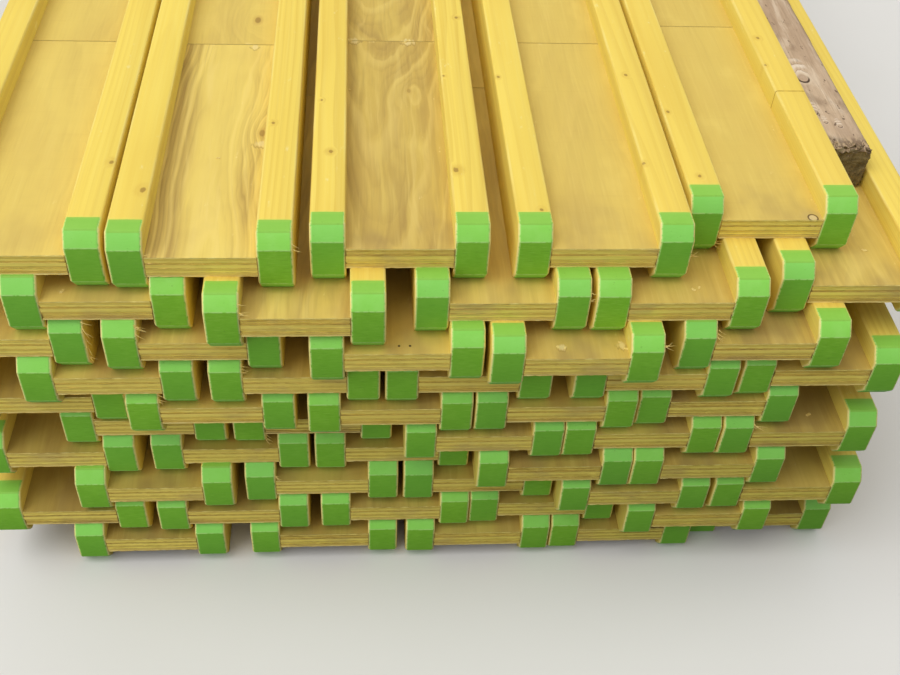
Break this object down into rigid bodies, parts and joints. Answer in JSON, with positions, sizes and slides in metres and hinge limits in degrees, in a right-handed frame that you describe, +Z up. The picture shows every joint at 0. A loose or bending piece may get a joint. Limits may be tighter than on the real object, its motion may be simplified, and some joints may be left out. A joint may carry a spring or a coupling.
{
  "type": "stack of lumber",
  "caption": "Stack of yellow timber formwork beams laid on their sides and nested into one another, with green-coated bevelled ends and a loose square timber on top.",
  "frame": {"origin": "on the floor under the middle of the stack", "axes": "+X across the stack, +Y along the beams away from the near ends, +Z up"},
  "size_m": [1.198, 2.569, 0.5615],
  "materials": {
    "flange_wood": "glazed planed softwood with a green sealing coat on the ends",
    "web_board": "glazed plywood board",
    "weathered_wood": "rough sawn and weathered"
  },
  "bodies": {
    "root": {"layer_01_flanges": "flange_wood", "layer_01_webs": "web_board", "layer_02_flanges": "flange_wood", "layer_02_webs": "web_board", "layer_03_flanges": "flange_wood", "layer_03_webs": "web_board", "layer_04_flanges": "flange_wood", "layer_04_webs": "web_board", "layer_05_flanges": "flange_wood", "layer_05_webs": "web_board", "layer_06_flanges": "flange_wood", "layer_06_webs": "web_board", "layer_07_flanges": "flange_wood", "layer_07_webs": "web_board", "layer_08_flanges": "flange_wood", "layer_08_webs": "web_board", "layer_09_flanges": "flange_wood", "layer_09_webs": "web_board", "layer_10_flanges": "flange_wood", "layer_10_webs": "web_board", "weathered_square_timber": "weathered_wood"}
  },
  "joints": []
}
